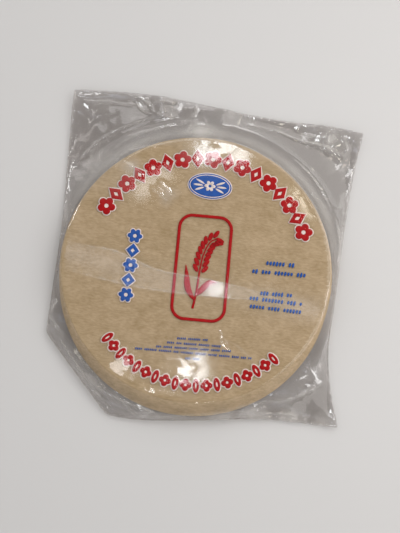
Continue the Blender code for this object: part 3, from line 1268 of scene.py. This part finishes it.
def add_rice_ear(red):
    """A bent ear of rice in the frame: a stalk with two leaves and grains along it."""
    add_ribbon(red, framed_run(EAR_SPINE), STALK_WIDTH, stalk_fullness)
    for points in EAR_LEAVES:
        add_ribbon(red, framed_run(points), LEAF_WIDTH, leaf_fullness)
    path = smooth_path(EAR_SPINE, GRAIN_PITCH)
    for place, following in zip(path, path[1:]):
        if place.y < GRAIN_START:
            continue
        run = following - place
        lean = math.atan2(run.y, run.x) - math.pi / 2.0
        for side in (-1.0, 1.0):
            turn = lean - side * GRAIN_LEAN
            out = Vector((math.sin(-turn), math.cos(turn), 0.0)) * GRAIN_OUT
            across = Vector((side * math.cos(lean), side * math.sin(lean), 0.0)) * GRAIN_ACROSS
            middle = place + out + across
            grain = ellipse(1.75 * MM, 3.7 * MM)
            add_shape(red, grain, framed(middle.x, middle.y), turn + FRAME_TILT, None, 24)
    tip = framed(EAR_TIP[0] * MM, EAR_TIP[1] * MM)
    add_shape(red, ellipse(1.7 * MM, 3.6 * MM), tip, EAR_TIP_TURN + FRAME_TILT, None, 24)


def add_badge(blue, pale, marks):
    """The blue oval in a pale ring, with a pale blossom between pale leaves."""
    ground, ring, ring_hole, oval = (ellipse(*half_sizes) for half_sizes in BADGE_OVALS)
    add_shape(pale, ground, BADGE_PLACE, 0.0, None, 90)
    add_shape(blue, ring, BADGE_PLACE, 0.0, ring_hole, 90)
    add_shape(blue, oval, BADGE_PLACE, 0.0, None, 120)
    add_shape(marks, blossom(4.6 * MM, 6, 0.42), BADGE_PLACE, 0.0, ellipse(1.2 * MM, 1.2 * MM), 60)
    for side in (-1.0, 1.0):
        for lift, lean in BADGE_LEAVES:
            out = BADGE_LEAF_OUT - abs(lift) * BADGE_LEAF_CLOSE
            middle = (BADGE_PLACE[0] + side * out * MM, BADGE_PLACE[1] + lift * MM)
            add_shape(marks, ellipse(4.2 * MM, 0.85 * MM), middle, side * lean, None, 28)


def add_grain_rows(blue):
    """Rows of tiny grains in short groups, as fine print seen from afar."""
    draw = random.Random(5)
    for start, end, half_width, half_height, pitch in GRAIN_ROWS:
        first, last = Vector(start) * MM, Vector(end) * MM
        count = max(2, round((last - first).length / (pitch * MM)))
        lean = math.atan2(last.y - first.y, last.x - first.x)
        gap = draw.randint(*FIRST_GROUP)
        for index in range(count + 1):
            place = first.lerp(last, index / count)
            tall = half_height * draw.uniform(*GRAIN_HEIGHTS)
            gap -= 1
            if gap == 0:
                gap = draw.randint(*NEXT_GROUP)
                continue
            grain = ellipse(half_width * MM, tall * MM)
            add_shape(blue, grain, place, lean - GRAIN_SLANT, None, 12)


class PACK_OT_print(bpy.types.Operator):
    """Print the ornaments on the film"""

    bl_idname = "pack.print"
    bl_label = "Print"

    def execute(self, context):
        surface = FilmSurface()
        red, blue, pale, marks = (bmesh.new() for _ in range(4))
        for form, shapes in ((red, red_ornaments()), (blue, blue_ornaments())):
            for outline, place, turn, hole in shapes:
                add_shape(form, outline, place, turn, hole)
                add_shape(pale, grown(outline, OUTLINE_WIDTH), place, turn)
        add_frame(red)
        add_rice_ear(red)
        add_badge(blue, pale, marks)
        add_grain_rows(blue)
        depth = sizes().ink_depth
        red_ink = gravure_ink("red_gravure_ink", colours().red_ink)
        blue_ink = gravure_ink("blue_gravure_ink", colours().blue_ink)
        pale_ink = gravure_ink("pale_gravure_ink", colours().pale_ink)
        print_object(red, "red_print", red_ink, depth, surface)
        print_object(blue, "blue_print", blue_ink, depth, surface)
        print_object(pale, "pale_print", pale_ink, depth + PALE_BELOW, surface)
        print_object(marks, "pale_marks", pale_ink, depth - MARKS_ABOVE, surface)
        return {"FINISHED"}


def area_light(name, place, aim, size, turn, radiance, colour):
    """A rectangular lamp aimed at a point and turned about its aim, given its face's radiance."""
    lamp = bpy.data.lights.new(name, "AREA")
    lamp.shape = "RECTANGLE"
    lamp.size, lamp.size_y = size
    lamp.energy = radiance * math.pi * size[0] * size[1]
    lamp.color = colour
    holder = bpy.data.objects.new(name, lamp)
    aimed = (Vector(aim) - Vector(place)).to_track_quat("-Z", "Y").to_matrix().to_4x4()
    holder.matrix_world = Matrix.Translation(place) @ aimed @ Matrix.Rotation(turn, 4, "Z")
    bpy.context.scene.collection.objects.link(holder)


def studio_world():
    """Pale walls with a darker ceiling and horizon, so that the film mirrors in contrast."""
    world = bpy.data.worlds.new("studio")
    world.use_nodes = True
    tree = world.node_tree
    tree.nodes.clear()
    direction = add_node(tree, "ShaderNodeTexCoord")
    parts = add_node(tree, "ShaderNodeSeparateXYZ", links={0: direction.outputs["Generated"]})
    overhead = add_node(
        tree,
        "ShaderNodeMapRange",
        {"From Min": 0.70, "From Max": 0.88, "To Min": WALL_LIGHT, "To Max": CEILING_LIGHT},
        {"Value": parts.outputs["Z"]},
    )
    low = add_node(
        tree,
        "ShaderNodeMapRange",
        {"From Min": 0.25, "From Max": 0.5, "To Min": HORIZON_LIGHT, "To Max": WALL_LIGHT},
        {"Value": parts.outputs["Z"]},
    )
    level = add_node(
        tree,
        "ShaderNodeMath",
        {"operation": "MINIMUM"},
        {0: overhead.outputs["Result"], 1: low.outputs["Result"]},
    )
    light = add_node(
        tree,
        "ShaderNodeBackground",
        {"Color": (1.0, 1.0, 1.0, 1.0)},
        {"Strength": level.outputs[0]},
    )
    add_node(tree, "ShaderNodeOutputWorld", links={"Surface": light.outputs[0]})
    return world


def photo_camera():
    """The camera at the photograph's angle, aimed so that the bag lies where it does there."""
    turned = Matrix.Rotation(CAMERA_TURN, 4, "Z")
    view = turned @ Matrix.Rotation(math.pi / 2.0 - CAMERA_TILT, 4, "X")
    right, up, back = (view.to_3x3().col[axis] for axis in range(3))
    metres = CAMERA_DISTANCE / FOCAL_PIXELS
    aim = right * (IMAGE_MIDDLE[0] - ORIGIN_PIXEL[0]) * metres
    aim += up * (ORIGIN_PIXEL[1] - IMAGE_MIDDLE[1]) * metres
    lens = bpy.data.cameras.new("camera")
    lens.sensor_width = SENSOR_WIDTH
    lens.lens = FOCAL_PIXELS / IMAGE_HEIGHT * SENSOR_WIDTH
    camera = bpy.data.objects.new("camera", lens)
    camera.matrix_world = Matrix.Translation(aim + back * CAMERA_DISTANCE) @ view
    bpy.context.scene.collection.objects.link(camera)
    return camera


class PACK_OT_stage(bpy.types.Operator):
    """Set the floor, the lights and the camera"""

    bl_idname = "pack.stage"
    bl_label = "Stage"

    def execute(self, context):
        form = bmesh.new()
        bmesh.ops.create_grid(form, x_segments=1, y_segments=1, size=FLOOR_HALF_WIDTH)
        bmesh.ops.translate(form, verts=form.verts, vec=(0.0, 0.0, -FLOOR_GAP))
        floor = object_from(form, "floor", painted_floor())
        context.scene.world = studio_world()
        for name, place, size, radiance, colour in LAMPS:
            area_light(name, place, (0.0, 0.0, 0.0), size, 0.0, radiance, colour)
        for name, place, size, turn, radiance, colour in PANES:
            below = (place[0], place[1], 0.0)
            area_light(name, place, below, size, math.radians(turn), radiance, colour)
        context.scene.camera = photo_camera()
        context.scene.view_settings.view_transform = "Standard"
        return {"FINISHED"}


class PACK_PT_panel(bpy.types.Panel):
    """Lists the sizes, the colours and the steps of the pack"""

    bl_label = "Rice paper pack"
    bl_idname = "PACK_PT_panel"
    bl_space_type = "VIEW_3D"
    bl_region_type = "UI"
    bl_category = "Rice Paper"

    def draw(self, context):
        for group in (context.scene.pack_sizes, context.scene.pack_colours):
            column = self.layout.column()
            for name in group.__annotations__:
                column.prop(group, name)
        for operator in OPERATORS:
            self.layout.operator(operator.bl_idname)


OPERATORS = (PACK_OT_film, PACK_OT_wrappers, PACK_OT_print, PACK_OT_stage)
CLASSES = (PackSizes, PackColours, *OPERATORS, PACK_PT_panel)


def register():
    """Registers the settings, the steps and the panel."""
    for cls in CLASSES:
        bpy.utils.register_class(cls)
    bpy.types.Scene.pack_sizes = PointerProperty(type=PackSizes)
    bpy.types.Scene.pack_colours = PointerProperty(type=PackColours)


def unregister():
    """Takes them away again."""
    del bpy.types.Scene.pack_colours
    del bpy.types.Scene.pack_sizes
    for cls in reversed(CLASSES):
        bpy.utils.unregister_class(cls)


def main():
    """Makes the pack and its stage."""
    register()
    bpy.ops.pack.film()
    bpy.ops.pack.wrappers()
    bpy.ops.pack.print()
    bpy.ops.pack.stage()


if __name__ == "__main__":
    main()
